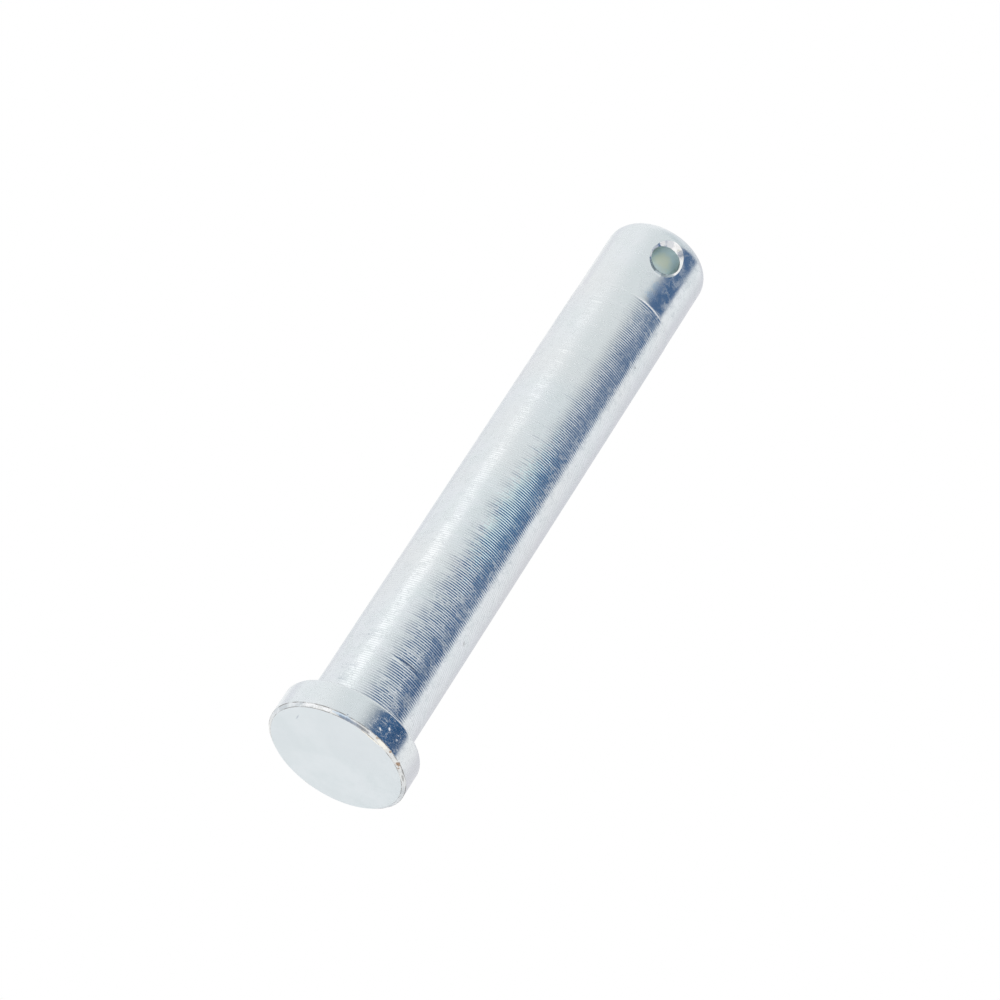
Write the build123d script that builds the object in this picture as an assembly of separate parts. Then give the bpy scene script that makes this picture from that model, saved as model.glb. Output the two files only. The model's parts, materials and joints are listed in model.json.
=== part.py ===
from build123d import *

import os
from math import radians, tan

# A plain headed clevis pin, turned from one bar of steel and cross-drilled for
# a cotter pin near its point. All sizes are in millimetres.
#
# Frame: the pin stands on the flat end face of its head. The origin is the
# centre of that face, +Z runs along the shank to the point, and the cotter
# hole runs along Y.

# Shank
shank_diameter = 9.47
length_under_head = 58.4  # from the seat under the head to the end of the point
point_length = 1.25  # how far the rounding of the point reaches down the shank
point_diameter = 8.15  # of the flat that is left at the end of the point

# Head
head_diameter = 12.8
head_height = 2.9
face_chamfer_width = 0.32  # measured across the end face
face_chamfer_height = 0.27  # measured along the rim
seat_edge_chamfer = 0.1  # the broken edge on the seat side of the rim
seat_fillet_radius = 0.3  # where the shank meets the seat

# Cotter hole
cotter_hole_diameter = 2.77
cotter_hole_to_point = 3.18  # from the hole's axis to the end of the point
mouth_diameter = 4.06  # of the deburring cone at the crest of the shank
mouth_angle = 118  # included angle of the deburring cone, that of a plain drill

shank_radius = shank_diameter / 2
point_radius = point_diameter / 2
head_radius = head_diameter / 2
cotter_hole_radius = cotter_hole_diameter / 2
mouth_radius = mouth_diameter / 2
overall_length = head_height + length_under_head


def turned_blank() -> Part:
    """Returns the pin as it leaves the lathe: head, fillet, shank and point."""
    face_corner = (head_radius - face_chamfer_width, 0)
    rim_low = (head_radius, face_chamfer_height)
    rim_high = (head_radius, head_height - seat_edge_chamfer)
    seat_outer = (head_radius - seat_edge_chamfer, head_height)
    seat_inner = (shank_radius + seat_fillet_radius, head_height)
    shank_start = (shank_radius, head_height + seat_fillet_radius)
    shank_end = (shank_radius, overall_length - point_length)
    point_corner = (point_radius, overall_length)

    with BuildPart() as blank:
        with BuildSketch(Plane.XZ):
            with BuildLine():
                Polyline((0, 0), face_corner, rim_low, rim_high, seat_outer, seat_inner)
                TangentArc(seat_inner, shank_start, tangent=(-1, 0))
                Line(shank_start, shank_end)
                TangentArc(shank_end, point_corner, tangent=(0, 1))
                Polyline(point_corner, (0, overall_length), (0, 0))
            make_face()
        revolve(axis=Axis.Z)
    return blank.part


def cotter_hole_cutter() -> Part:
    """Returns what drilling the cotter hole and deburring its two mouths takes out.

    It is a rod with a cone at each end. Each cone is as wide as the mouth at
    the crest of the shank, and goes on past it at the same angle.
    """
    slope = tan(radians(mouth_angle / 2))
    cone_start = shank_radius - (mouth_radius - cotter_hole_radius) / slope
    reach = head_radius
    reach_radius = mouth_radius + (reach - shank_radius) * slope

    with BuildPart() as cutter:
        with BuildSketch(Plane.XY):
            with BuildLine():
                Polyline(
                    (0, 0),
                    (cotter_hole_radius, 0),
                    (cotter_hole_radius, cone_start),
                    (reach_radius, reach),
                    (0, reach),
                    close=True,
                )
            make_face()
            mirror(about=Plane.XZ)
        revolve(axis=Axis.Y)
    return Pos(0, 0, overall_length - cotter_hole_to_point) * cutter.part


def clevis_pin() -> Part:
    """Returns the finished pin, one solid."""
    return turned_blank() - cotter_hole_cutter()


os.makedirs("parts", exist_ok=True)
export_step(clevis_pin(), "parts/clevis_pin.step")
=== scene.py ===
import json
import logging
import math
import random
from dataclasses import dataclass, field
from enum import Enum

import bmesh
import bpy
from mathutils import Matrix, Vector, noise


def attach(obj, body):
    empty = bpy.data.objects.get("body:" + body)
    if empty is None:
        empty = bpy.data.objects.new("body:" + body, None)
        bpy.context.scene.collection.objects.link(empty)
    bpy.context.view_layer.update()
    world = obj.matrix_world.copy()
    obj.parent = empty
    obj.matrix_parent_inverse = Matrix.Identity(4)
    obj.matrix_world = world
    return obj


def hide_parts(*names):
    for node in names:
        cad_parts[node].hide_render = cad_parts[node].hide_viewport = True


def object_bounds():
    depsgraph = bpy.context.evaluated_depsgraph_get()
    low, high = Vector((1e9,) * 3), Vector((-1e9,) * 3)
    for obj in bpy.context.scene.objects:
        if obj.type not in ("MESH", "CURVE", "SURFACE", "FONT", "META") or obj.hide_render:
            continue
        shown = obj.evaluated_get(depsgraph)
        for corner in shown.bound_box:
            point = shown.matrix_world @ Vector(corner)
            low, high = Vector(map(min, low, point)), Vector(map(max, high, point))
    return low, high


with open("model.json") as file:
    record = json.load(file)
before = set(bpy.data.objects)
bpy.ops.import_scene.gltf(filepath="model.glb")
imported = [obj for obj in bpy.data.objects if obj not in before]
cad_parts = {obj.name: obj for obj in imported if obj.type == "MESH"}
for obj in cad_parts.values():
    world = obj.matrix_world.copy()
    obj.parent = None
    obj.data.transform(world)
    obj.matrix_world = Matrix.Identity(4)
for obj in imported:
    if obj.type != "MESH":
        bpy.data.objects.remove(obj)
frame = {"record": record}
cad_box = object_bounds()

Colour = tuple[float, float, float]
Point = tuple[float, float, float]
Pair = tuple[float, float]
Profile = list[tuple[float, float]]
Output = bpy.types.NodeSocket
Plug = Output | float | tuple[float, ...]

MM = 0.001  # metres in a millimetre
PER_MM = 1000.0  # pattern scale that repeats once in a millimetre
NODE = "clevis_pin"
FRONT = -7.25  # azimuth of the middle of the front, in degrees
RIM = cad_box[1].x / MM  # radius of the head's rim, in millimetres
SLOPE = RIM - 0.16  # radius of the middle of the head's chamfer, in millimetres
MOUTH_MIDDLE = 0.3  # from the hole's wall out to the middle of a mouth's slope, and down, in millimetres
WELD = 0.0005 * MM  # points nearer to each other than this are one

log = logging.getLogger("clevis_pin")


# ---------- Wiring of shader nodes ----------


class Wiring:
    """Adds nodes to one shader tree and joins them."""

    def __init__(self, tree: bpy.types.NodeTree) -> None:
        """Starts on an empty tree.

        Args:
            tree: The material's, world's or group's node tree.
        """
        self.tree = tree
        tree.nodes.clear()

    def join(self, socket: bpy.types.NodeSocket, plug: Plug) -> None:
        """Links a socket, or sets its value.

        Args:
            socket: The input socket.
            plug: Another node's output, or a number or tuple.
        """
        if isinstance(plug, Output):
            self.tree.links.new(plug, socket)
        elif isinstance(plug, tuple) and len(plug) == 3 and socket.type == "RGBA":
            socket.default_value = (*plug, 1.0)
        else:
            socket.default_value = plug

    def add(
        self, kind: str, plugs: dict[str | int, Plug] | None = None, **settings: object,
    ) -> bpy.types.Node:
        """Adds one node.

        Args:
            kind: The node's type name without its ShaderNode prefix, or in full.
            plugs: What goes into its inputs, by socket name or number.
            settings: Attributes of the node.

        Returns:
            The new node.
        """
        full = kind if kind.startswith("NodeGroup") else f"ShaderNode{kind}"
        node = self.tree.nodes.new(full)
        for name, value in settings.items():
            setattr(node, name, value)
        for key, plug in (plugs or {}).items():
            self.join(node.inputs[key], plug)
        return node

    def use(self, group: bpy.types.NodeTree, plugs: dict[str, Plug]) -> bpy.types.Node:
        """Returns a node that holds a group."""
        node = self.tree.nodes.new("ShaderNodeGroup")
        node.node_tree = group
        for name, plug in plugs.items():
            self.join(node.inputs[name], plug)
        return node

    def maths(self, operation: str, first: Plug, second: Plug = 0.0) -> Output:
        """Returns the output of a Math node."""
        return self.add("Math", {0: first, 1: second}, operation=operation).outputs[0]

    def strongest(self, first: Plug | None, second: Output) -> Output:
        """Returns the larger of two values, or the second where there is no first."""
        return second if first is None else self.maths("MAXIMUM", first, second)

    def vector(self, operation: str, first: Plug, second: Plug = (0.0, 0.0, 0.0)) -> bpy.types.Node:
        """Returns a Vector Math node."""
        return self.add("VectorMath", {0: first, 1: second}, operation=operation)

    def step(self, value: Plug, low: float, high: float) -> Output:
        """Returns value eased from 0 at low to 1 at high; low may be the larger."""
        plugs = {"Value": value, "From Min": low, "From Max": high}
        return self.add("MapRange", plugs, interpolation_type="SMOOTHSTEP").outputs["Result"]

    def blend(self, share: Plug, first: Plug, second: Plug) -> Output:
        """Returns the colour that goes from first to second as share goes from 0 to 1."""
        return self.add("Mix", {0: share, 6: first, 7: second}, data_type="RGBA").outputs[2]

    def fade(self, share: Plug, first: Plug, second: Plug) -> Output:
        """Returns the value that goes from first to second as share goes from 0 to 1."""
        return self.add("Mix", {0: share, 2: first, 3: second}, data_type="FLOAT").outputs[0]

    def noise(self, where: Plug, scale: Plug, detail: float, rough: float = 0.5) -> Output:
        """Returns a noise value around 0.5 at where."""
        plugs = {"Vector": where, "Scale": scale, "Detail": detail, "Roughness": rough}
        return self.add("TexNoise", plugs).outputs[0]

    def twisted(self, where: Plug, scale: Plug, detail: float, twist: float) -> Output:
        """Returns a noise value around 0.5 at where, with its patches drawn out into swirls."""
        plugs = {"Vector": where, "Scale": scale, "Detail": detail, "Roughness": 0.5, "Distortion": twist}
        return self.add("TexNoise", plugs).outputs[0]


class Socket(Enum):
    """Kinds of socket on a shader group."""

    VALUE = "NodeSocketFloat"
    VECTOR = "NodeSocketVector"


class ShaderGroup:
    """An effect that more than one finish uses."""

    title: str
    takes: dict[str, Socket]
    gives: dict[str, Socket]

    def __init__(self) -> None:
        """Makes the group's tree, its sockets and its nodes."""
        self.tree = bpy.data.node_groups.new(self.title, "ShaderNodeTree")
        for name, kind in self.takes.items():
            self.tree.interface.new_socket(name, in_out="INPUT", socket_type=kind.value)
        for name, kind in self.gives.items():
            self.tree.interface.new_socket(name, in_out="OUTPUT", socket_type=kind.value)
        self.wiring = Wiring(self.tree)
        self.inlet = self.wiring.add("NodeGroupInput").outputs
        self.outlet = self.wiring.add("NodeGroupOutput").inputs
        self.wire()

    def wire(self) -> None:
        """Fills the group; each group has its own."""
        raise NotImplementedError

    def give(self, name: str, plug: Plug) -> None:
        """Joins one of the group's outputs."""
        self.wiring.join(self.outlet[name], plug)


class PlatingGrain(ShaderGroup):
    """The clouds and wisps that zinc grows with, and the fine grain that turning lays round the pin."""

    title = "plating_grain"
    takes = {
        "Where": Socket.VECTOR, "Cloud Scale": Socket.VALUE, "Wisp Scale": Socket.VALUE,
        "Grain Scale": Socket.VALUE, "Stretch": Socket.VECTOR,
    }
    gives = {"Clouds": Socket.VALUE, "Wisps": Socket.VALUE, "Grain": Socket.VALUE, "Film": Socket.VALUE}
    laid = (0.35, 0.35, 1.0)  # scale of the grain along each axis, so that it is longer round the pin
    twist = 1.1  # how far the wisps are twisted
    film_mm = 0.11  # patches of film in a millimetre

    def wire(self) -> None:
        """Makes one noise for each of the four."""
        wiring, inlet = self.wiring, self.inlet
        where = wiring.vector("MULTIPLY", inlet["Where"], inlet["Stretch"]).outputs[0]
        laid = wiring.vector("MULTIPLY", inlet["Where"], self.laid).outputs[0]
        self.give("Clouds", wiring.noise(where, inlet["Cloud Scale"], 3.0, 0.62))
        self.give("Wisps", wiring.twisted(where, inlet["Wisp Scale"], 2.0, self.twist))
        self.give("Grain", wiring.noise(laid, inlet["Grain Scale"], 2.0))
        self.give("Film", wiring.noise(inlet["Where"], self.film_mm * PER_MM, 1.0))


class MarkMask(ShaderGroup):
    """A ragged patch of one size at one place."""

    title = "mark_mask"
    takes = {
        "Where": Socket.VECTOR, "Place": Socket.VECTOR, "Turn": Socket.VECTOR, "Size": Socket.VECTOR,
        "Ragged": Socket.VALUE,
    }
    gives = {"Mask": Socket.VALUE}
    core = 0.4  # share of the patch, from its middle, that is at full strength

    def wire(self) -> None:
        """Compares the distance from the place with the size, made uneven by the ragged noise."""
        wiring, inlet = self.wiring, self.inlet
        plugs = {
            "Vector": inlet["Where"], "Location": inlet["Place"], "Rotation": inlet["Turn"],
            "Scale": inlet["Size"],
        }
        local = wiring.add("Mapping", plugs, vector_type="TEXTURE").outputs[0]
        away = wiring.vector("LENGTH", local).outputs["Value"]
        self.give("Mask", wiring.step(wiring.maths("ADD", away, inlet["Ragged"]), 1.0, self.core))


# ---------- Finishes ----------


@dataclass(frozen=True)
class MarkLook:
    """What one kind of mark does to the plating; some kinds are scuffs, stains, films and dirt, and some are
    painted highlights and painted shade.

    Attributes:
        colour: Its colour.
        roughness: Its roughness.
        metallic: How metallic it is.
        ragged: How ragged its edges are.
    """

    colour: Colour
    roughness: float
    metallic: float
    ragged: float


class MarkKind(Enum):
    """Kinds of mark on the pin: scuffs, stains, films and dirt, and painted highlights and painted shade."""

    # Whitish scuffs on the shank; on the head's chamfer and in the head's dark reflection these patches are
    # painted glints.
    SCUFF_AND_HIGHLIGHT = MarkLook((0.97, 0.975, 0.98), 0.7, 1.0, 2.6)
    # Painted glints: small white spots and specks on the head and the shank.
    GLINT = MarkLook((1.0, 1.0, 1.0), 0.85, 0.75, 0.6)
    # Painted highlights: near-white patches on the hole's mouth and a light line along the step where the
    # turning marks end.
    PAINTED_HIGHLIGHT = MarkLook((1.0, 1.0, 1.0), 0.9, 0.15, 0.25)
    SHADE = MarkLook((0.42, 0.50, 0.55), 0.3, 1.0, 0.5)
    MILK = MarkLook((0.76, 0.80, 0.82), 0.16, 0.8, 2.0)
    TEAL_FILM = MarkLook((0.77, 0.93, 0.95), 0.15, 1.0, 2.4)
    OLIVE_FILM = MarkLook((0.90, 0.90, 0.74), 0.36, 1.0, 0.6)
    # Dark navy: a nick and a tick on the head; elsewhere painted shade, in the knock, the bottoms of the
    # turning marks, the chamfer's inner edge, the head's dark reflection and the hole's mouth.
    BRUISE_AND_SHADE = MarkLook((0.09, 0.15, 0.26), 0.3, 1.0, 1.0)
    # A pale blue film on the chamfer; beside the hole it is painted shade at the edge of the dark
    # reflection.
    BLUE_FILM_AND_SHADE = MarkLook((0.60, 0.72, 0.84), 0.3, 1.0, 2.0)
    CREAM_FILM = MarkLook((0.96, 0.93, 0.84), 0.45, 1.0, 2.0)
    RUST = MarkLook((0.54, 0.36, 0.23), 0.7, 0.4, 1.6)
    # Dirt along edges and in spots; on the chamfer's inner edge it is painted shade.
    GRIME_AND_SHADE = MarkLook((0.30, 0.29, 0.28), 0.5, 0.7, 1.6)


@dataclass(frozen=True)
class Mark:
    """One mark on the pin: a scuff, stain or dirt left by use, or a patch of painted highlight or painted
    shade.

    Attributes:
        kind: What it is.
        height: Its height in millimetres.
        azimuth: Where it is round the pin, in degrees from the middle of the front.
        wide: Half its width round the pin in millimetres.
        tall: Half its length along the pin in millimetres.
        lean: How far it leans, in degrees.
        strength: How strong it is, from 0 to 1.
        radius: How far it is from the pin's axis in millimetres.
        deep: Half its reach towards the axis in millimetres.
        swing: How far it is turned about the pin's axis, in degrees.
        sunk: Whether it is only in the bottoms of the turning marks.
    """

    kind: MarkKind
    height: float
    azimuth: float
    wide: float
    tall: float
    lean: float = 0.0
    strength: float = 1.0
    radius: float = 4.72
    deep: float = 1.0
    swing: float = 0.0
    sunk: bool = False

    def plugs(self) -> dict[str, Plug]:
        """Returns what the mark's mask takes."""
        around = math.radians(self.azimuth + FRONT)
        outward = Vector((math.sin(around), -math.cos(around), 0.0))
        place = outward * self.radius + Vector((0.0, 0.0, self.height))
        turn = (0.0, math.radians(self.lean), around + math.radians(self.swing))
        size = (self.wide * MM, self.deep * MM, self.tall * MM)
        return {"Place": tuple(place * MM), "Turn": turn, "Size": size}


@dataclass(frozen=True)
class Pattern:
    """What all the finishes share in their patterns.

    Attributes:
        clouds: From where to where in their noise the clouds show.
        film: From where to where in its noise the film thickens.
        wisp_roughness: How much rougher the wisps are, for how milky they are.
        ring_wobble: How far the rings of a faced end are from true.
        bite_mm: Bites in a millimetre of a mark's edge.
        bite_twist: How far the bites are twisted.
        seam: How far from its edge grime ends, and where it is full, in metres.
        break_mm: Breaks in a millimetre of the grime on an edge.
        breaks: From where to where in their noise the breaks end.
        furrow: Depth at which the bottom of a turning mark starts, and at which it is full, in metres.
    """

    clouds: Pair = (0.36, 0.66)
    film: Pair = (0.42, 0.7)
    wisp_roughness: float = 0.5
    ring_wobble: float = 0.6
    bite_mm: float = 5.0
    bite_twist: float = 1.2
    seam: Pair = (0.045 * MM, 0.02 * MM)
    break_mm: float = 1.3
    breaks: Pair = (0.34, 0.6)
    furrow: Pair = (0.012 * MM, 0.028 * MM)


PATTERN = Pattern()


@dataclass(frozen=True)
class ZincPlate:
    """Bright zinc plating under a thin, faintly blue film.

    Attributes:
        name: The material's name.
        bright: Colour of the metal where the plating is brightest.
        dull: Colour in the clouds of the plating.
        film: Colour where the film is thicker.
        gloss: Lowest roughness.
        cloudy: How much rougher the clouds are.
        cloud_mm: Clouds in a millimetre.
        wisp_mm: Wisps in a millimetre.
        wisps: From where to where in their noise the wisps show.
        milky: How far the wisps are from bare metal.
        haze: How far the whole surface is from bare metal.
        grain_mm: Grains in a millimetre.
        relief: Height of the grain in metres.
        ring_mm: Rings in a millimetre on a faced end, where they take the grain's place; 0 for none.
        stretch: Scale of the pattern along each axis.
        seams: Heights in metres of edges where grime has settled.
        marks: Marks of use, and patches of painted highlight and painted shade.
    """

    name: str
    bright: Colour = (0.765, 0.805, 0.835)
    dull: Colour = (0.74, 0.79, 0.81)
    film: Colour = (0.77, 0.80, 0.815)
    gloss: float = 0.2
    cloudy: float = 0.08
    cloud_mm: float = 0.7
    wisp_mm: float = 2.2
    wisps: Pair = (0.5, 0.72)
    milky: float = 0.2
    haze: float = 0.0
    grain_mm: float = 3.0
    relief: float = 0.003 * MM
    ring_mm: float = 0.0
    stretch: Point = (1.0, 1.0, 0.7)
    seams: tuple[float, ...] = ()
    marks: tuple[Mark, ...] = ()

    def build(self, grain: PlatingGrain, mask: MarkMask) -> bpy.types.Material:
        """Makes the material.

        Args:
            grain: The shared grain of the plating.
            mask: The shared mask of a mark.

        Returns:
            The finished material.
        """
        material = bpy.data.materials.new(self.name)
        material.use_nodes = True
        wiring = Wiring(material.node_tree)
        where = wiring.add("TexCoord").outputs["Object"]
        plugs = {
            "Where": where, "Cloud Scale": self.cloud_mm * PER_MM, "Wisp Scale": self.wisp_mm * PER_MM,
            "Grain Scale": self.grain_mm * PER_MM, "Stretch": self.stretch,
        }
        pattern = wiring.use(grain.tree, plugs).outputs
        clouds = wiring.step(pattern["Clouds"], *PATTERN.clouds)
        wisps = wiring.maths("MULTIPLY", wiring.step(pattern["Wisps"], *self.wisps), self.milky)
        film = wiring.step(pattern["Film"], *PATTERN.film)
        colour = wiring.blend(film, wiring.blend(clouds, self.bright, self.dull), self.film)
        rough = wiring.maths("ADD", wiring.maths("MULTIPLY", clouds, self.cloudy), self.gloss)
        rough = wiring.maths("ADD", rough, wiring.maths("MULTIPLY", wisps, PATTERN.wisp_roughness))
        metallic = wiring.maths("SUBTRACT", 1.0 - self.haze, wisps)
        for kind, share in self.mark_shares(wiring, where, mask).items():
            colour = wiring.blend(share, colour, kind.value.colour)
            rough = wiring.fade(share, rough, kind.value.roughness)
            metallic = wiring.fade(share, metallic, kind.value.metallic)
        height = self.rings(wiring, where) if self.ring_mm else pattern["Grain"]
        bump = wiring.add("Bump", {"Strength": 1.0, "Distance": self.relief, "Height": height})
        plugs = {
            "Base Color": colour, "Metallic": metallic, "Roughness": rough, "Normal": bump.outputs["Normal"],
        }
        metal = wiring.add("BsdfPrincipled", plugs)
        wiring.add("OutputMaterial", {"Surface": metal.outputs[0]})
        return material

    def rings(self, wiring: Wiring, where: Plug) -> Output:
        """Returns the height of the rings of a faced end at where."""
        scale = self.ring_mm * PER_MM
        plugs = {"Vector": where, "Scale": scale, "Distortion": PATTERN.ring_wobble, "Detail": 1.0}
        return wiring.add("TexWave", plugs, wave_type="RINGS", rings_direction="Z").outputs["Fac"]

    def mark_shares(self, wiring: Wiring, where: Plug, mask: MarkMask) -> dict[MarkKind, Output]:
        """Finds how much of each kind of mark there is, painted highlights and painted shade among them.

        Args:
            wiring: The material's wiring.
            where: The place on the pin.
            mask: The shared mask of a mark.

        Returns:
            The share of each kind, from 0 to 1.
        """
        shares: dict[MarkKind, Output] = {}
        if not self.marks and not self.seams:
            return shares
        bites = wiring.twisted(where, PATTERN.bite_mm * PER_MM, 2.0, PATTERN.bite_twist)
        uneven = wiring.maths("SUBTRACT", bites, 0.5)
        edges = {m.kind: wiring.maths("MULTIPLY", uneven, m.kind.value.ragged) for m in self.marks}
        for mark in self.marks:
            plugs = {"Where": where, "Ragged": edges[mark.kind], **mark.plugs()}
            share = wiring.maths("MULTIPLY", wiring.use(mask.tree, plugs).outputs["Mask"], mark.strength)
            if mark.sunk:
                share = wiring.maths("MULTIPLY", share, self.furrows(wiring, where))
            shares[mark.kind] = wiring.strongest(shares.get(mark.kind), share)
        for seam in self.seams:
            share = self.settled(wiring, where, seam)
            shares[MarkKind.GRIME_AND_SHADE] = wiring.strongest(shares.get(MarkKind.GRIME_AND_SHADE), share)
        return shares

    @staticmethod
    def settled(wiring: Wiring, where: Plug, seam: float) -> Output:
        """Returns how much grime has settled in broken lengths along the edge at a height."""
        height = wiring.add("SeparateXYZ", {0: where}).outputs[2]
        away = wiring.maths("ABSOLUTE", wiring.maths("SUBTRACT", height, seam))
        broken = wiring.step(wiring.noise(where, PATTERN.break_mm * PER_MM, 4.0, 0.7), *PATTERN.breaks)
        return wiring.maths("MULTIPLY", wiring.step(away, *PATTERN.seam), broken)

    @staticmethod
    def furrows(wiring: Wiring, where: Plug) -> Output:
        """Returns how near to the bottom of a turning mark where is."""
        flat = wiring.vector("MULTIPLY", where, (1.0, 1.0, 0.0)).outputs[0]
        out = wiring.vector("LENGTH", flat).outputs["Value"]
        depth = wiring.maths("SUBTRACT", mount("shank")["dims"]["r_mm"] * MM, out)
        return wiring.step(depth, *PATTERN.furrow)


def mount(name: str) -> dict:
    """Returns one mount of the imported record."""
    return next(m for m in frame["record"]["mounts"] if m["name"] == name)


def round_hole(kind: MarkKind, clock: float, wide: float, tall: float, strength: float = 1.0) -> Mark:
    """Places a mark on the slope of the cross hole's front mouth.

    Args:
        kind: What it is.
        clock: Where it is round the hole, in degrees clockwise from the side of the point.
        wide: Half its width in millimetres.
        tall: Half its length in millimetres.
        strength: How strong it is, from 0 to 1.

    Returns:
        The mark.
    """
    hole, shank = mount("cotter_hole"), mount("shank")["dims"]["r_mm"]
    out = hole["dims"]["r_mm"] + MOUTH_MIDDLE
    across, along = out * math.sin(math.radians(clock)), out * math.cos(math.radians(clock))
    azimuth = math.degrees(math.asin(across / shank)) - FRONT
    height = hole["pos_m"][2] / MM + along
    return Mark(kind, height, azimuth, wide, tall, strength=strength, radius=shank - MOUTH_MIDDLE)


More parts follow.
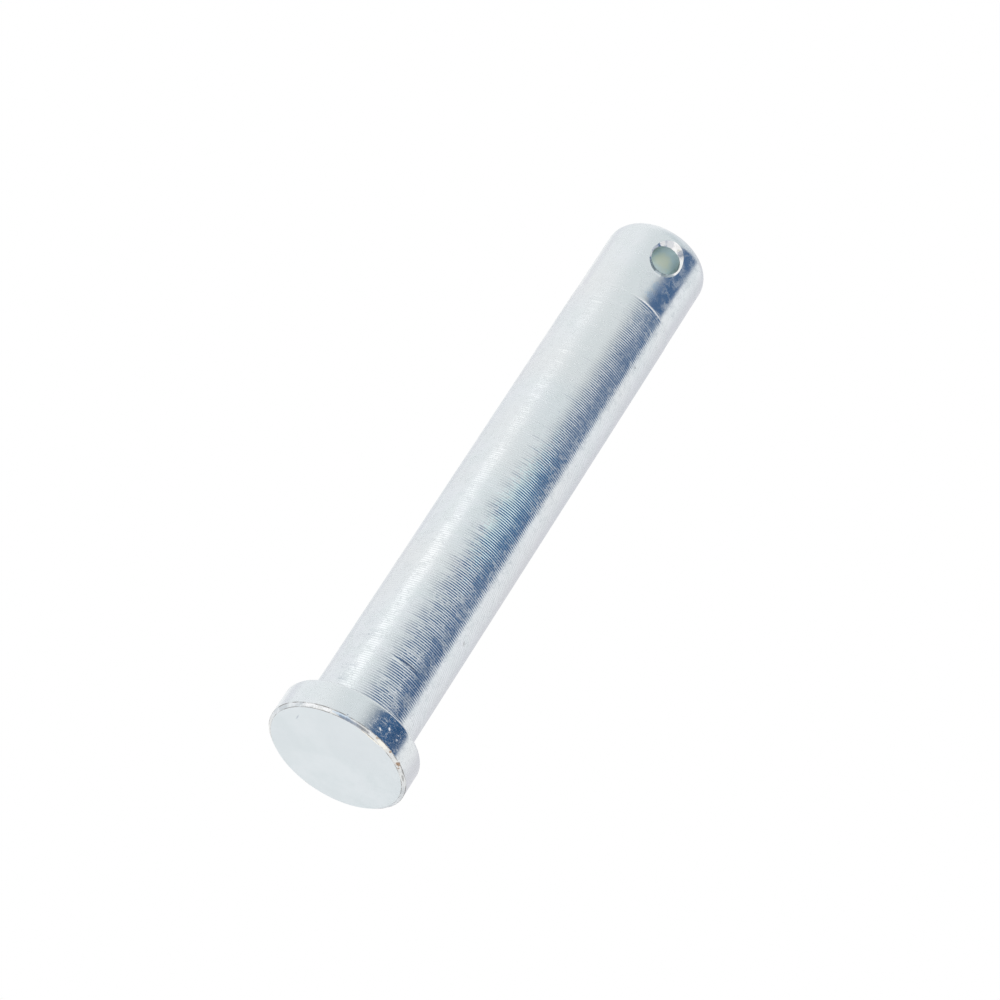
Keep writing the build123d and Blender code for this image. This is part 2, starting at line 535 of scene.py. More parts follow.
class Area(Enum):
    """The areas of the pin that have a finish of their own, in the order of its material slots."""

    FACE = ZincPlate(
        "head_face", bright=(0.75, 0.795, 0.82), dull=(0.71, 0.765, 0.785), film=(0.73, 0.775, 0.80),
        gloss=0.32, wisps=(0.5, 0.8), milky=0.12, cloud_mm=0.22, wisp_mm=3.0, relief=0.004 * MM,
        marks=(
            Mark(MarkKind.BRUISE_AND_SHADE, 0.0, -63, 0.08, 1.0, strength=0.3, radius=5.0, deep=0.45, swing=64),
            Mark(MarkKind.CREAM_FILM, 0.0, 14, 2.2, 1.0, radius=6.03, deep=0.15),
            Mark(MarkKind.GRIME_AND_SHADE, 0.0, -172, 0.75, 1.0, radius=6.12, deep=0.09),
        ),
    )
    CHAMFER = ZincPlate(
        "head_chamfer", bright=(0.80, 0.83, 0.85), dull=(0.62, 0.66, 0.69), film=(0.80, 0.80, 0.78),
        gloss=0.3, cloud_mm=1.6, wisp_mm=3.0, milky=0.25, relief=0.03 * MM, grain_mm=2.5,
        seams=(0.0, 0.27 * MM),
        marks=(
            # The whitish patches at -41, -27 and 10 degrees are painted glints; the dark patches from -9 to
            # 6 degrees along the inner edge are painted shade.
            Mark(MarkKind.SCUFF_AND_HIGHLIGHT, 0.17, -41, 1.1, 0.13, radius=SLOPE),
            Mark(MarkKind.SCUFF_AND_HIGHLIGHT, 0.15, -27, 0.8, 0.12, radius=SLOPE),
            Mark(MarkKind.BLUE_FILM_AND_SHADE, 0.19, -14, 1.0, 0.13, strength=0.9, radius=SLOPE),
            Mark(MarkKind.BRUISE_AND_SHADE, 0.08, -9, 1.1, 0.11, strength=0.7, radius=6.17),
            Mark(MarkKind.BRUISE_AND_SHADE, 0.1, 1, 1.2, 0.11, strength=0.6, radius=6.18),
            Mark(MarkKind.GRIME_AND_SHADE, 0.12, 6, 0.8, 0.1, strength=0.6, radius=6.2),
            Mark(MarkKind.SCUFF_AND_HIGHLIGHT, 0.16, 10, 0.4, 0.12, radius=SLOPE),
            Mark(MarkKind.CREAM_FILM, 0.16, 24, 0.9, 0.16, strength=0.9, radius=SLOPE),
            Mark(MarkKind.RUST, 0.2, 18, 0.16, 0.08, strength=0.6, radius=SLOPE),
            Mark(MarkKind.RUST, 0.22, 33, 0.18, 0.1, strength=0.8, radius=6.26),
            Mark(MarkKind.RUST, 0.2, 46, 0.3, 0.16, strength=0.9, radius=6.25),
            Mark(MarkKind.RUST, 0.1, 50, 0.14, 0.07, strength=0.6, radius=6.2),
            Mark(MarkKind.GRIME_AND_SHADE, 0.25, 40, 0.6, 0.05, strength=0.8, radius=6.35),
            Mark(MarkKind.GRIME_AND_SHADE, 0.25, 56, 0.8, 0.06, strength=0.8, radius=6.35),
            Mark(MarkKind.GRIME_AND_SHADE, 0.14, 62, 0.6, 0.06, strength=0.6, radius=SLOPE),
        ),
    )
    HEAD_SIDE = ZincPlate(
        "head_side", gloss=0.12, cloudy=0.05, wisp_mm=6.2, wisps=(0.46, 0.72), milky=0.37, haze=0.02,
        stretch=(0.45, 0.45, 1.0), grain_mm=2.4, relief=0.004 * MM, seams=(0.27 * MM, 2.84 * MM),
        marks=(
            # The white spots are painted glints; the wide dark patch at 31 degrees is painted shade in the
            # dark reflection.
            Mark(MarkKind.GLINT, 1.0, 16, 0.19, 0.12, lean=40, radius=RIM),
            Mark(MarkKind.GLINT, 1.6, 22, 0.22, 0.13, lean=40, radius=RIM),
            Mark(MarkKind.GLINT, 1.8, 31, 0.1, 0.08, strength=0.8, radius=RIM),
            Mark(MarkKind.GLINT, 1.4, 32, 0.12, 0.09, strength=0.9, radius=RIM),
            Mark(MarkKind.SCUFF_AND_HIGHLIGHT, 1.8, 34, 0.09, 0.07, strength=0.8, radius=RIM),
            Mark(MarkKind.SCUFF_AND_HIGHLIGHT, 1.0, 22, 0.09, 0.08, strength=0.6, radius=RIM),
            Mark(MarkKind.BRUISE_AND_SHADE, 0.4, -10, 0.07, 0.08, strength=0.7, radius=RIM),
            Mark(MarkKind.BRUISE_AND_SHADE, 1.5, 31, 1.1, 1.8, strength=0.25, radius=RIM),
            Mark(MarkKind.RUST, 0.3, 24, 1.6, 0.05, strength=0.45, radius=RIM),
            Mark(MarkKind.RUST, 0.3, 46, 0.16, 0.08, strength=0.8, radius=RIM),
            Mark(MarkKind.RUST, 0.3, 33, 0.14, 0.06, strength=0.6, radius=RIM),
        ),
    )
    SEAT = ZincPlate(
        "faced_end", bright=(0.74, 0.785, 0.81), dull=(0.68, 0.735, 0.76), gloss=0.42, cloudy=0.12,
        cloud_mm=0.5, wisp_mm=2.0, milky=0.2, haze=0.12, relief=0.006 * MM, ring_mm=0.7,
    )
    TURNED = ZincPlate(
        "turned_shank", gloss=0.15, wisp_mm=2.0, wisps=(0.46, 0.72), milky=0.3, haze=0.03,
        relief=0.001 * MM, stretch=(0.8, 0.8, 1.0),
        marks=(
            Mark(MarkKind.MILK, 43, 25, 1.7, 12, strength=0.45),
            Mark(MarkKind.TEAL_FILM, 27, 16, 1.8, 9, strength=0.9),
            # Painted shade: darker bottoms of the turning marks near the head.
            Mark(MarkKind.BRUISE_AND_SHADE, 8, 33, 1.0, 9, strength=0.4, sunk=True),
            # Painted shade along the knock in the turning marks.
            Mark(MarkKind.BRUISE_AND_SHADE, 8.5, -3, 0.5, 0.1),
            Mark(MarkKind.BRUISE_AND_SHADE, 8.5, 3, 0.6, 0.17),
            Mark(MarkKind.BRUISE_AND_SHADE, 8.5, 8, 0.6, 0.17, strength=0.9),
            Mark(MarkKind.BRUISE_AND_SHADE, 8.5, 14, 0.6, 0.15, strength=0.7),
            Mark(MarkKind.BRUISE_AND_SHADE, 8.4, 20, 0.5, 0.15, strength=0.5),
            # Painted glints: white specks near the head.
            Mark(MarkKind.GLINT, 5.1, 10, 0.08, 0.08, strength=0.9),
            Mark(MarkKind.GLINT, 5.7, 15, 0.18, 0.07, lean=30, strength=0.7),
            Mark(MarkKind.GLINT, 6.1, 18, 0.12, 0.07, lean=-20, strength=0.7),
            Mark(MarkKind.GLINT, 6.5, 14, 0.2, 0.07, lean=30, strength=0.6),
            Mark(MarkKind.SCUFF_AND_HIGHLIGHT, 6.2, 16, 0.22, 0.22, lean=30, strength=0.5),
            Mark(MarkKind.SCUFF_AND_HIGHLIGHT, 7.1, 14, 0.24, 0.16, lean=-20, strength=0.4),
            Mark(MarkKind.SCUFF_AND_HIGHLIGHT, 9.4, 17, 0.22, 0.3, strength=0.4),
            Mark(MarkKind.GRIME_AND_SHADE, 14.3, 53, 0.3, 0.2, lean=30, strength=0.35),
            Mark(MarkKind.GRIME_AND_SHADE, 5.1, 55, 0.25, 0.06, lean=60, strength=0.4),
            Mark(MarkKind.SCUFF_AND_HIGHLIGHT, 46.8, 10, 0.1, 0.1, strength=0.7),
            Mark(MarkKind.GRIME_AND_SHADE, 47.3, 46, 0.12, 0.16, strength=0.5),
        ),
    )
    PLAIN = ZincPlate(
        "plain_end", gloss=0.17, wisp_mm=1.4, wisps=(0.44, 0.72), milky=0.22, haze=0.05,
        stretch=(0.8, 0.8, 1.0), grain_mm=1.6, relief=0.003 * MM,
        marks=(
            Mark(MarkKind.SHADE, 60.6, 14, 3.2, 0.6, strength=0.4, radius=4.4, deep=2.0),
            Mark(MarkKind.MILK, 55.3, 11, 1.1, 1.8, strength=0.8),
            # Painted shade: a ragged edge to the dark reflection beside the hole.
            Mark(MarkKind.BLUE_FILM_AND_SHADE, 53.8, 14, 0.8, 0.6, lean=30, strength=0.8),
            Mark(MarkKind.BLUE_FILM_AND_SHADE, 54.9, 14, 0.7, 0.6, lean=-20, strength=0.7),
            # Painted highlight: a light line along the step where the turning marks end.
            Mark(MarkKind.PAINTED_HIGHLIGHT, 52.8, 20, 2.5, 0.15, strength=0.7, radius=4.73, deep=0.9),
        ),
    )
    BORE = ZincPlate(
        "bore_wall", bright=(0.83, 0.91, 0.905), dull=(0.78, 0.89, 0.92), film=(0.86, 0.915, 0.88),
        gloss=0.34, cloud_mm=0.6, wisp_mm=1.5, milky=0.1, stretch=(1.0, 0.4, 1.0), relief=0.004 * MM,
        marks=(Mark(MarkKind.OLIVE_FILM, 59.2, 8, 1.25, 1.0, strength=0.9, radius=2.2, deep=1.6),),
    )
    MOUTH = ZincPlate(
        # Near-white: a painted highlight on the mouth's slope.
        "hole_mouth", bright=(0.97, 0.965, 0.96), dull=(0.95, 0.93, 0.91), film=(0.96, 0.96, 0.96),
        gloss=0.13, cloud_mm=2.5, wisp_mm=3.0, milky=0.1,
        marks=(
            # Painted highlights on the mouth's slope.
            round_hole(MarkKind.PAINTED_HIGHLIGHT, -42, 0.42, 0.4),
            round_hole(MarkKind.PAINTED_HIGHLIGHT, -18, 0.5, 0.4, 0.6),
            round_hole(MarkKind.PAINTED_HIGHLIGHT, -75, 0.8, 0.7, 0.35),
            round_hole(MarkKind.PAINTED_HIGHLIGHT, -105, 0.6, 0.5, 0.55),
            round_hole(MarkKind.SHADE, 135, 0.8, 0.6, 0.9),
            round_hole(MarkKind.SHADE, 160, 0.8, 0.6, 0.9),
            round_hole(MarkKind.SHADE, 185, 0.8, 0.7, 0.9),
            round_hole(MarkKind.SHADE, 215, 0.7, 0.7, 0.8),
            round_hole(MarkKind.CREAM_FILM, 18, 0.2, 0.16),
            # Painted shade: a dark blotch on the mouth.
            round_hole(MarkKind.BRUISE_AND_SHADE, 28, 0.36, 0.4, 0.4),
        ),
    )

    @property
    def slot(self) -> int:
        """The number of the area's material slot."""
        return list(Area).index(self)


# ---------- The pin ----------


@dataclass(frozen=True)
class PinSizes:
    """Sizes of the pin in metres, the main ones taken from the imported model.

    Attributes:
        shank_radius: Of the shank, over the crests of its turning marks.
        head_radius: Of the head's rim.
        head_height: From the head's face to its seat.
        length: Over all.
        hole_radius: Of the cotter hole.
        hole_height: Of the cotter hole's axis.
        hole_wall: Half the length of the hole's straight wall.
        mouth_slope: How much the mouths of the hole widen for their depth.
        face_chamfer: Width and height of the chamfer round the head's face.
        seat_edge: Radius of the head's edge on the side of its seat.
        seat_fillet: Radius between the seat and the shank.
        point_length: How far the rounding of the point reaches down the shank.
        point_radius: Of the flat that is left at the end of the point.
    """

    shank_radius: float = mount("shank")["dims"]["r_mm"] * MM
    head_radius: float = min(-cad_box[0].x, cad_box[1].x, cad_box[1].y)
    head_height: float = mount("under_head")["pos_m"][2]
    length: float = cad_box[1].z
    hole_radius: float = mount("cotter_hole")["dims"]["r_mm"] * MM
    hole_height: float = mount("cotter_hole")["pos_m"][2]
    hole_wall: float = mount("cotter_hole")["dims"]["length_mm"] * MM / 2
    mouth_slope: float = math.tan(math.radians(118 / 2))
    face_chamfer: Pair = (0.32 * MM, 0.27 * MM)
    seat_edge: float = 0.24 * MM
    seat_fillet: float = 0.3 * MM
    point_length: float = 1.25 * MM
    point_radius: float = 8.15 * MM / 2


@dataclass(frozen=True)
class TurningMarks:
    """The feed marks that the lathe tool left round the shank.

    Attributes:
        start: Height at which they start, in metres.
        end: Height at which they end.
        pitch: From one mark to the next.
        deep: Their depth beside the head.
        shallow: Their depth near the end of the cut.
        ease: How the depth goes from one to the other; 1 for evenly.
        spread: How unlike each other the marks are at the start and at the end, as shares of their depth.
        worn: How far the crests are worn down at most, as a share of the depth.
        valley: From where to where in a pitch the bottom of a mark lies.
        bold: Height of one mark that is cut deeper.
        bolder: How many times as deep it is.
        waves: How strong each unevenness of the depth is, and how many waves it has in a millimetre.
        knock: Height in metres of a knock in the marks, and its azimuth from the front in degrees.
        knock_size: Half its width and half its height in millimetres.
        knock_depth: Its depth.
        step: How far the marks stand proud of what follows.
        run_out: Length of the slope down that step.
        seed: Seed of the random draws.
    """

    start: float = 3.25 * MM
    end: float = 52.72 * MM
    pitch: float = 0.232 * MM
    deep: float = 0.035 * MM
    shallow: float = 0.019 * MM
    ease: float = 0.9
    spread: Pair = (0.07, 0.26)
    worn: float = 0.05
    valley: Pair = (0.44, 0.56)
    bold: float = 51.1 * MM
    bolder: float = 1.4
    waves: tuple[Pair, ...] = ((0.2, 1.7), (0.3, 0.5))
    knock: Pair = (8.4 * MM, -1.0)
    knock_size: Pair = (0.75, 0.16)
    knock_depth: float = 0.05 * MM
    step: float = 0.028 * MM
    run_out: float = 0.12 * MM
    seed: int = 11

    @property
    def count(self) -> int:
        """How many marks there are."""
        return int((self.end - self.start) / self.pitch)

    def depth(self, share: float) -> float:
        """Returns how deep the marks are at a share of their length."""
        return self.deep + (self.shallow - self.deep) * share**self.ease

    def uneven(self, place: Vector) -> float:
        """Returns how many times as deep as the others the marks are at a place."""
        return 1 + sum(strong * noise.noise(place * PER_MM * often) for strong, often in self.waves)

    def struck(self, away: Vector) -> float:
        """Returns the depth of the knock at a distance from its middle."""
        wide, tall = self.knock_size
        share = 1 - math.hypot(away.xy.length * PER_MM / wide, away.z * PER_MM / tall)
        return max(0.0, share) * self.knock_depth


@dataclass(frozen=True)
class Near:
    """How near a face of the pin has to be to an area, or turned its way, to be a part of it.

    Attributes:
        level: To the height where the area ends, in metres.
        wall: To the wall of the cotter hole.
        mouth: To the wall of the cotter hole, for the slope of its mouth.
        skin: How far under the shank's crest the hole's wall starts.
        along: Largest share of a wall's direction that points along the hole.
        outward: Smallest share of the shank's direction that points straight out.
        upward: Largest share of the shank's direction that points along the pin.
        flat: Smallest share of a faced end's direction that points up the pin.
        edge: Largest difference in height of the ends of an edge that runs round the pin.
    """

    level: float = 0.01 * MM
    wall: float = 0.02 * MM
    mouth: float = 0.9 * MM
    skin: float = 0.05 * MM
    along: float = 0.3
    outward: float = 0.995
    upward: float = 0.1
    flat: float = 0.99
    edge: float = 0.0001 * MM


@dataclass
class ClevisPin:
    """The pin: its turned profile, its marks, its cotter hole and its finishes.

    Attributes:
        sizes: Its sizes.
        marks: Its turning marks.
        near: How its areas are told apart.
        facets: How many facets go round the pin.
        hole_facets: How many facets go round the cotter hole.
        hole_rows: Rows of facets along the hole's wall.
        face_rings: Where the head's face has rings of points, as shares of its radius.
        rim_rows: Rows of facets up the head's rim.
        edge_rows: Rows round the head's edge on the side of its seat.
        fillet_rows: Rows round the fillet.
        end_rows: Rows along the plain end of the shank.
        point_rows: Rows over the rounding of the point.
        point_ring: Where the flat of the point has a ring of points, as a share of its radius.
        crease: Angle in radians above which an edge is sharp.
    """

    sizes: PinSizes = field(default_factory=PinSizes)
    marks: TurningMarks = field(default_factory=TurningMarks)
    near: Near = field(default_factory=Near)
    facets: int = 150
    hole_facets: int = 96
    hole_rows: int = 16
    face_rings: tuple[float, ...] = (0.0, 0.35, 0.7)
    rim_rows: int = 6
    edge_rows: int = 5
    fillet_rows: int = 7
    end_rows: int = 28
    point_rows: int = 16
    point_ring: float = 0.6
    crease: float = math.radians(32)

    def head_profile(self) -> Profile:
        """Returns radius and height along the head, from its face to the fillet."""
        s = self.sizes
        width, height = s.face_chamfer
        top = s.head_height - s.seat_edge
        seat = s.head_height + s.seat_fillet
        points = [(s.head_radius * share, 0.0) for share in self.face_rings]
        points += [(s.head_radius - width, 0.0), (s.head_radius, height)]
        rows = range(1, self.rim_rows)
        points += [(s.head_radius, height + (top - height) * i / self.rim_rows) for i in rows]
        points += arc((s.head_radius - s.seat_edge, top), s.seat_edge, 0, 90, self.edge_rows)
        points += arc((s.shank_radius + s.seat_fillet, seat), s.seat_fillet, 270, 180, self.fillet_rows)
        return points

    def marks_profile(self) -> Profile:
        """Returns radius and height along the turned marks: a crest and a valley for each."""
        m, radius = self.marks, self.sizes.shank_radius
        draw = random.Random(m.seed)
        points = []
        for i in range(m.count):
            spread = m.spread[0] + (m.spread[1] - m.spread[0]) * i / m.count
            depth = m.depth(i / m.count) * (1 + spread * draw.uniform(-1, 1))
            base = m.start + i * m.pitch
            if 0 <= m.bold - base < m.pitch:
                depth *= m.bolder
            points.append((radius - m.worn * m.deep * draw.random(), base))
            points.append((radius - depth, base + m.pitch * draw.uniform(*m.valley)))
        return points

    def end_profile(self) -> Profile:
        """Returns radius and height from the end of the marks over the point to the axis."""
        s, m = self.sizes, self.marks
        radius = s.shank_radius - m.step
        low, high = m.end + m.run_out, s.length - s.point_length
        points = [(s.shank_radius, m.end)]
        points += [(radius, low + (high - low) * i / self.end_rows) for i in range(self.end_rows + 1)]
        drop = radius - s.point_radius
        bend = (s.point_length**2 + drop**2) / (2 * drop)
        sweep = math.degrees(math.asin(s.point_length / bend))
        points += arc((radius - bend, high), bend, 0, sweep, self.point_rows)[1:]
        return [*points, (s.point_radius * self.point_ring, s.length), (0.0, s.length)]

    def turn(self) -> bmesh.types.BMesh:
        """Returns the turned blank, spun from its profile, with uneven marks and one knock in them."""
        outline = self.head_profile() + self.marks_profile() + self.end_profile()
        mesh = spun([(radius, 0.0, height) for radius, height in outline], (0, 0, 1), (0, 0, 0), self.facets)
        s, m = self.sizes, self.marks
        height, azimuth = m.knock
        knock = toward(FRONT + azimuth, 0.0) * s.shank_radius + Vector((0, 0, height))
        for vert in mesh.verts:
            if not m.start < vert.co.z < m.end:
                continue
            out = vert.co.xy.length
            depth = (s.shank_radius - out) * m.uneven(vert.co) + m.struck(vert.co - knock)
            vert.co.xy *= (s.shank_radius - depth) / out
        return mesh

    def drill(self) -> bpy.types.Object:
        """Returns the drill for the cotter hole: a rod with a cone at each end."""
        s = self.sizes
        reach = s.head_radius
        wide = s.hole_radius + (reach - s.hole_wall) * s.mouth_slope
        half = self.hole_rows // 2
        outline = [(0.0, -reach), (wide, -reach)]
        outline += [(s.hole_radius, s.hole_wall * i / half) for i in range(-half, half + 1)]
        outline += [(wide, reach), (0.0, reach)]
        points = [(radius, along, s.hole_height) for radius, along in outline]
        return as_object("cotter_drill", spun(points, (0, 1, 0), (0, 0, s.hole_height), self.hole_facets))

    def in_hole(self, face: bmesh.types.BMFace) -> Area | None:
        """Returns which area of the cotter hole a face is in, or None where it isn't in the hole."""
        s, near = self.sizes, self.near
        centre = face.calc_center_median()
        from_wall = math.hypot(centre.x, centre.z - s.hole_height) - s.hole_radius
        under = centre.xy.length < s.shank_radius - near.skin
        if from_wall < near.wall and under and abs(face.normal.y) < near.along:
            return Area.BORE
        if from_wall >= near.mouth:
            return None
        slanted = face.normal.xy.normalized().dot(centre.xy.normalized()) < near.outward
        raised = abs(face.normal.z) > near.upward and centre.z < s.length - s.point_length
        return Area.MOUTH if slanted or raised else None

    def area(self, face: bmesh.types.BMFace) -> Area:
        """Returns the area that a face of the pin is in."""
        s, near = self.sizes, self.near
        in_hole = self.in_hole(face)
        if in_hole is not None:
            return in_hole
        centre = face.calc_center_median()
        if centre.z < near.level:
            return Area.FACE
        if centre.z < s.face_chamfer[1] - near.level:
            return Area.CHAMFER
        if face.normal.z > near.flat:
            return Area.SEAT
        if centre.xy.length > s.shank_radius + s.seat_fillet:
            return Area.HEAD_SIDE
        return Area.TURNED if centre.z < self.marks.end else Area.PLAIN

    def dress(self, pin: bpy.types.Object) -> None:
        """Gives each face of the pin the finish of its area."""
        pin.data.materials.clear()
        grain, mask = PlatingGrain(), MarkMask()
        for area in Area:
            pin.data.materials.append(area.value.build(grain, mask))
        mesh = bmesh.new()
        mesh.from_mesh(pin.data)
        mesh.normal_update()
        for face in mesh.faces:
            face.material_index = self.area(face).slot
        mesh.to_mesh(pin.data)
        mesh.free()

    def smooth(self, pin: bpy.types.Object) -> None:
        """Shades the pin smooth, apart from its sharp edges and the crests and valleys of its marks."""
        pin.data.shade_smooth()
        pin.data.set_sharp_from_angle(angle=self.crease)
        points = pin.data.vertices
        for edge in pin.data.edges:
            low, high = (points[i].co.z for i in edge.vertices)
            if self.marks.start < low < self.marks.end and abs(low - high) < self.near.edge:
                edge.use_edge_sharp = True

    def build(self) -> bpy.types.Object:
        """Returns the finished pin, drilled and dressed."""
        pin = as_object("turned_pin", self.turn())
        drill = self.drill()
        cut = pin.modifiers.new("cotter hole", "BOOLEAN")
        cut.operation = "DIFFERENCE"
        cut.solver = "EXACT"
        cut.object = drill
        settle(pin)
        bpy.data.objects.remove(drill)
        self.dress(pin)
        self.smooth(pin)
        return pin


def arc(centre: Pair, radius: float, start: float, end: float, steps: int) -> Profile:
    """Returns points on an arc.

    Args:
        centre: Its centre, as radius and height on the pin.
        radius: Its radius.
        start: The angle it starts at, in degrees.
        end: The angle it ends at, in degrees.
        steps: How many parts it has.

    Returns:
        One point more than there are parts.
    """
    turns = [math.radians(start + (end - start) * i / steps) for i in range(steps + 1)]
    return [(centre[0] + radius * math.cos(turn), centre[1] + radius * math.sin(turn)) for turn in turns]


def spun(outline: list[Point], axis: Point, centre: Point, steps: int) -> bmesh.types.BMesh:
    """Spins an outline whose two ends are on the axis into a closed mesh.

    Args:
        outline: Its points.
        axis: The axis that it turns about.
        centre: A point on that axis.
        steps: How many facets go round.

    Returns:
        The mesh, with its faces outward.
    """
    mesh = bmesh.new()
    points = [mesh.verts.new(point) for point in outline]
    lines = [mesh.edges.new(pair) for pair in zip(points, points[1:])]
    bmesh.ops.spin(
        mesh, geom=points + lines, axis=axis, cent=centre, angle=2 * math.pi, steps=steps, use_merge=True,
    )
    bmesh.ops.remove_doubles(mesh, verts=mesh.verts, dist=WELD)
    bmesh.ops.dissolve_degenerate(mesh, edges=mesh.edges, dist=WELD)
    bmesh.ops.recalc_face_normals(mesh, faces=mesh.faces)
    return mesh


def as_object(name: str, mesh: bmesh.types.BMesh) -> bpy.types.Object:
    """Turns a bmesh into an object in the scene.

    Args:
        name: The object's name.
        mesh: The bmesh, which is freed.

    Returns:
        The new object, at the origin.
    """
    data = bpy.data.meshes.new(name)
    mesh.to_mesh(data)
    mesh.free()
    made = bpy.data.objects.new(name, data)
    bpy.context.scene.collection.objects.link(made)
    return made


def settle(piece: bpy.types.Object) -> None:
    """Applies the piece's modifiers to its mesh."""
    bpy.context.view_layer.update()
    shaped = piece.evaluated_get(bpy.context.evaluated_depsgraph_get())
    piece.data = bpy.data.meshes.new_from_object(shaped)
    piece.modifiers.clear()


# ---------- The studio ----------


def toward(azimuth: float, elevation: float) -> Vector:
    """Returns the direction of a place in the studio.

    Args:
        azimuth: Degrees round the pin from -Y, towards +X.
        elevation: Degrees above the floor.

    Returns:
        A unit vector from the pin to that place.
    """
    a, e = math.radians(azimuth), math.radians(elevation)
    return Vector((math.sin(a) * math.cos(e), -math.cos(a) * math.cos(e), math.sin(e)))


@dataclass(frozen=True)
class StudioCard:
    """A curved card that only the metal sees.

    Attributes:
        name: The object's name.
        left: Colour of its light at its left edge.
        right: Colour of its light from where it has changed over to its right edge.
        rows: Elevation, left azimuth and right azimuth of each row, from low to high, with azimuths
            from the front.
        soft: Share of the card that fades at its left, right, lower and upper edge.
        distance: How far it is from the pin in metres.
        strength: Strength of its light.
        changed: Share of its width where its colour has changed over.
        columns: Its facets from left to right.
        parts: Its facets from one row to the next.
    """

    name: str
    left: Colour
    right: Colour
    rows: tuple[tuple[float, float, float], ...]
    soft: tuple[float, float, float, float]
    distance: float
    strength: float = 1.0
    changed: float = 0.4
    columns: int = 32
    parts: int = 4

    def build(self, centre: Vector) -> None:
        """Makes the card round the pin.

        Args:
            centre: The middle of the pin.
        """
        gaps = len(self.rows) - 1
        mesh = bmesh.new()
        bmesh.ops.create_grid(
            mesh, x_segments=self.columns, y_segments=self.parts * gaps, size=0.5, calc_uvs=True,
        )
        layer = mesh.loops.layers.uv.verify()
        for face in mesh.faces:
            for loop in face.loops:
                loop[layer].uv = (loop.vert.co.x + 0.5, loop.vert.co.y + 0.5)
        for vert in mesh.verts:
            across, up = vert.co.x + 0.5, (vert.co.y + 0.5) * gaps
            row = min(int(up), gaps - 1)
            pair = zip(self.rows[row], self.rows[row + 1])
            elevation, left, right = (low + (high - low) * (up - row) for low, high in pair)
            vert.co = centre + toward(FRONT + left + (right - left) * across, elevation) * self.distance
        card = as_object(self.name, mesh)
        card.visible_camera = False
        card.visible_diffuse = False
        card.visible_shadow = False
        card.data.materials.append(self.finish())

    def finish(self) -> bpy.types.Material:
        """Returns the card's glow, which fades out at its soft edges."""
        material = bpy.data.materials.new(self.name)
        material.use_nodes = True
        wiring = Wiring(material.node_tree)
        place = wiring.add("SeparateXYZ", {0: wiring.add("UVMap").outputs[0]}).outputs
        left, right, low, high = self.soft
        across = self.window(wiring, place[0], left, right)
        upward = self.window(wiring, place[1], low, high)
        colour = wiring.blend(wiring.step(place[0], 0.0, self.changed), self.left, self.right)
        glow = wiring.add("Emission", {"Color": colour, "Strength": self.strength}).outputs[0]
        clear = wiring.add("BsdfTransparent").outputs[0]
        mixed = wiring.add("MixShader", {0: wiring.maths("MULTIPLY", across, upward), 1: clear, 2: glow})
        wiring.add("OutputMaterial", {"Surface": mixed.outputs[0]})
        return material

    @staticmethod
    def window(wiring: Wiring, place: Plug, start: float, end: float) -> Output:
        """Returns 1 over the card, fading to 0 over shares of it at its start and its end."""
        return wiring.maths("MULTIPLY", wiring.step(place, 0.0, start), wiring.step(place, 1.0, 1.0 - end))


class Card(Enum):
    """The cards that stand round the pin."""

    FLAG = StudioCard(
        "dark_flag", left=(0.155, 0.17, 0.175), right=(0.036, 0.115, 0.26),
        rows=(
            (-14, -56, 80), (-9, -54, 80), (-2, -50, 80), (4, -33, 79), (8, -8, 79), (14, -5, 78),
            (20, -4, 79), (29, -14, 84), (38, 8, 78.5), (48, 18, 88), (54, 36, 99), (60, 43, 108),
            (70, 48, 114), (80, 54, 118),
        ),
        soft=(0.42, 0.09, 0.08, 0.38), distance=0.35,
    )
    LOW_FLAG = StudioCard(
        "low_flag", left=(0.12, 0.19, 0.30), right=(0.10, 0.17, 0.28),
        rows=((-27, 134, 172), (-12, 134, 172)), soft=(0.2, 0.1, 0.2, 0.2), distance=0.8,
    )
    BACK_FLAG = StudioCard(
        "back_flag", left=(0.12, 0.19, 0.30), right=(0.10, 0.17, 0.28),
        rows=((-25, 246, 290), (-5, 246, 290)), soft=(0.3, 0.1, 0.2, 0.2), distance=0.75,
    )
    KEY = StudioCard(
        "key", left=(1.0, 0.985, 0.97), right=(1.0, 0.985, 0.97),
        rows=((-14, -79, -44), (4, -78, -44), (24, -78, -48)),
        soft=(0.35, 0.3, 0.25, 0.4), distance=0.8, strength=1.33,
    )
    DIM_FRONT = StudioCard(
        "dim_front", left=(0.84, 0.87, 0.87), right=(0.84, 0.87, 0.87),
        rows=((-12, -72, 30), (80, -75, 60)), soft=(0.4, 0.2, 0.3, 0.3), distance=1.6,
    )
    DIM_SIDE = StudioCard(
        "dim_side", left=(0.86, 0.84, 0.865), right=(0.785, 0.77, 0.80),
        rows=((0, 96, 188), (75, 96, 188)), soft=(0.4, 0.1, 0.3, 0.3), distance=1.6,
    )
    DIM_LEFT = StudioCard(
        "dim_left", left=(0.88, 0.87, 0.90), right=(0.89, 0.88, 0.91),
        rows=((0, 210, 240), (75, 210, 240)), soft=(0.3, 0.4, 0.3, 0.3), distance=1.6,
    )


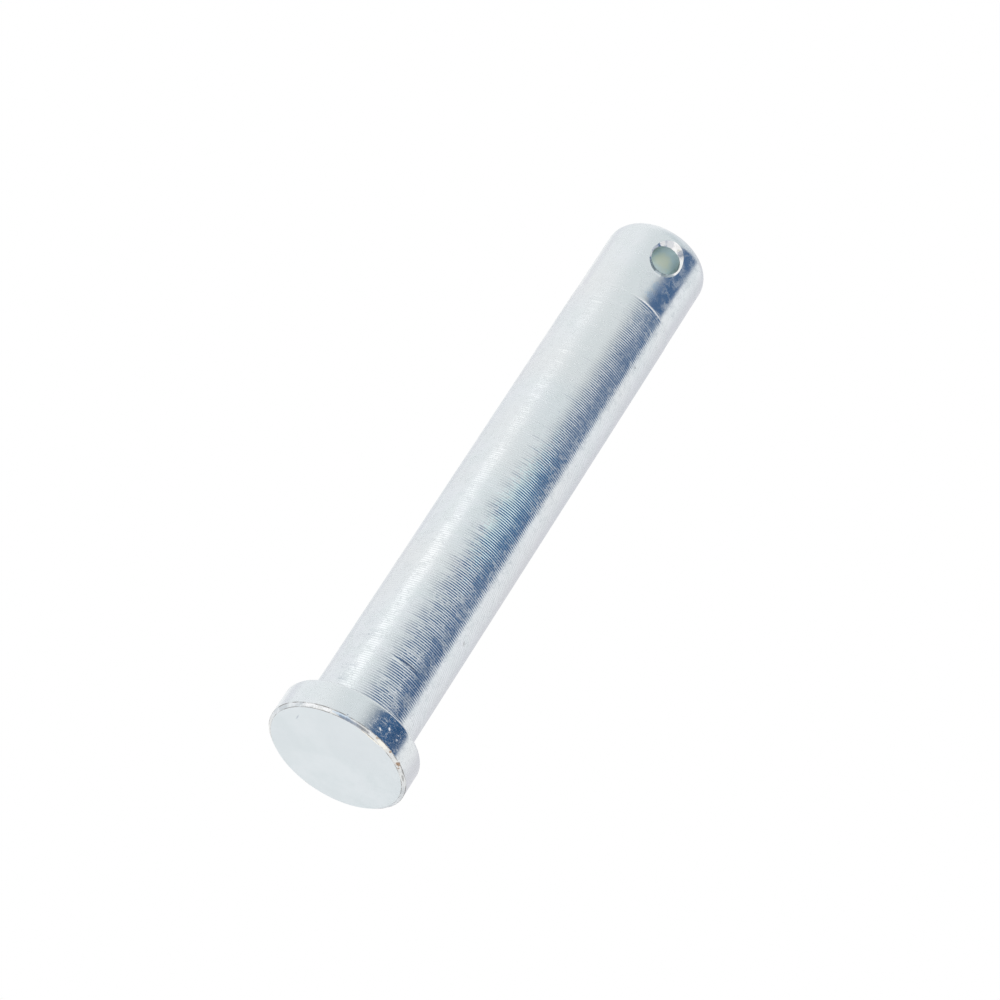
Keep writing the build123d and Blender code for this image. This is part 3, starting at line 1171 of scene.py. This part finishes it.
@dataclass(frozen=True)
class Studio:
    """Floor, surround, cards, lamp and camera.

    Attributes:
        elevation: Degrees of the camera above the floor; it looks up from below where this is negative.
        roll: Degrees that the camera is turned about its line of sight.
        distance: How far it is from where it is aimed, in metres.
        aim: Where it is aimed, in metres.
        lens: Its focal length in millimetres.
        sensor: The width of its sensor in millimetres.
        sight: The nearest and the farthest that it sees, in metres.
        surround: Strength of the white surround for all but the camera, the metal and glass.
        floor_colour: Colour of the floor.
        floor_radius: Its radius in metres.
        floor_rise: How far it is above the head's face, so that no gap shows under the pin.
        floor_fade: How far from the pin the floor starts to fade, and where it has gone, in metres.
        lamp_place: Azimuth and elevation of the overhead lamp, in degrees.
        lamp_distance: How far the lamp is from the pin, in metres.
        lamp_size: Its diameter in metres.
        lamp_power: Its power in watts.
    """

    elevation: float = -33.65
    roll: float = 32.97
    distance: float = 416 * MM
    aim: Point = (-0.21 * MM, 0.03 * MM, 30.2 * MM)
    lens: float = 175.0
    sensor: float = 36.0
    sight: Pair = (0.01, 20.0)
    surround: float = 0.7
    floor_colour: Colour = (0.9, 0.9, 0.9)
    floor_radius: float = 1.5
    floor_rise: float = 0.03 * MM
    floor_fade: Pair = (0.3, 1.1)
    lamp_place: Pair = (-60, 62)
    lamp_distance: float = 0.9
    lamp_size: float = 0.5
    lamp_power: float = 1.8

    def camera(self) -> None:
        """Makes the camera, which looks along the pin from the side of its head."""
        data = bpy.data.cameras.new("camera")
        data.lens = self.lens
        data.sensor_width = self.sensor
        data.clip_start, data.clip_end = self.sight
        camera = bpy.data.objects.new("camera", data)
        bpy.context.scene.collection.objects.link(camera)
        back = toward(FRONT, self.elevation)
        level = (-back).to_track_quat("-Z", "Y").to_matrix().to_4x4()
        turn = Matrix.Rotation(math.radians(self.roll), 4, "Z")
        camera.matrix_world = Matrix.Translation(Vector(self.aim) + back * self.distance) @ level @ turn
        bpy.context.scene.camera = camera

    def world(self) -> None:
        """Makes the white surround: full white to the camera and the metal, softer on the floor."""
        world = bpy.data.worlds.new("studio")
        bpy.context.scene.world = world
        world.use_nodes = True
        wiring = Wiring(world.node_tree)
        path = wiring.add("LightPath").outputs
        seen = wiring.maths("MAXIMUM", path["Is Camera Ray"], path["Is Glossy Ray"])
        seen = wiring.maths("MAXIMUM", seen, path["Is Transmission Ray"])
        strength = wiring.add("MapRange", {"Value": seen, "To Min": self.surround, "To Max": 1.0})
        surround = wiring.add("Background", {"Color": (1.0, 1.0, 1.0), "Strength": strength.outputs[0]})
        wiring.add("OutputWorld", {"Surface": surround.outputs[0]})

    def floor(self) -> None:
        """Makes the pale floor, which fades into the white surround, and from below isn't there."""
        mesh = bmesh.new()
        bmesh.ops.create_circle(mesh, cap_ends=True, segments=128, radius=self.floor_radius)
        bmesh.ops.translate(mesh, verts=mesh.verts, vec=(0, 0, self.floor_rise))
        floor = as_object("floor", mesh)
        floor.visible_glossy = False
        floor.visible_shadow = False
        material = bpy.data.materials.new("pale_floor")
        material.use_nodes = True
        wiring = Wiring(material.node_tree)
        paint = wiring.add("BsdfDiffuse", {"Color": self.floor_colour}).outputs[0]
        clear = wiring.add("BsdfTransparent").outputs[0]
        below = wiring.add("NewGeometry").outputs["Backfacing"]
        away = wiring.vector("LENGTH", wiring.add("TexCoord").outputs["Object"]).outputs["Value"]
        gone = wiring.maths("MAXIMUM", below, wiring.step(away, *self.floor_fade))
        mixed = wiring.add("MixShader", {0: gone, 1: paint, 2: clear})
        wiring.add("OutputMaterial", {"Surface": mixed.outputs[0]})
        floor.data.materials.append(material)

    def lamp(self) -> None:
        """Makes the soft overhead lamp."""
        data = bpy.data.lights.new("overhead", "AREA")
        data.shape = "DISK"
        data.size = self.lamp_size
        data.energy = self.lamp_power
        lamp = bpy.data.objects.new("overhead", data)
        bpy.context.scene.collection.objects.link(lamp)
        lamp.visible_glossy = False
        place = toward(*self.lamp_place) * self.lamp_distance
        lamp.location = place
        lamp.rotation_euler = place.to_track_quat("Z", "Y").to_euler()

    def build(self) -> None:
        """Makes the whole studio."""
        bpy.context.scene.view_settings.view_transform = "Standard"
        self.world()
        self.floor()
        self.lamp()
        self.camera()
        for card in Card:
            card.value.build(Vector((0, 0, cad_box[1].z / 2)))


def main() -> None:
    """Builds the studio and the pin, and reports the piece."""
    logging.basicConfig(level=logging.INFO, format="%(name)s: %(message)s")
    Studio().build()
    pin = ClevisPin().build()
    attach(pin, "root")
    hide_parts(NODE)
    log.info("%s: %d vertices, %d faces", pin.name, len(pin.data.vertices), len(pin.data.polygons))


if __name__ == "__main__":
    main()
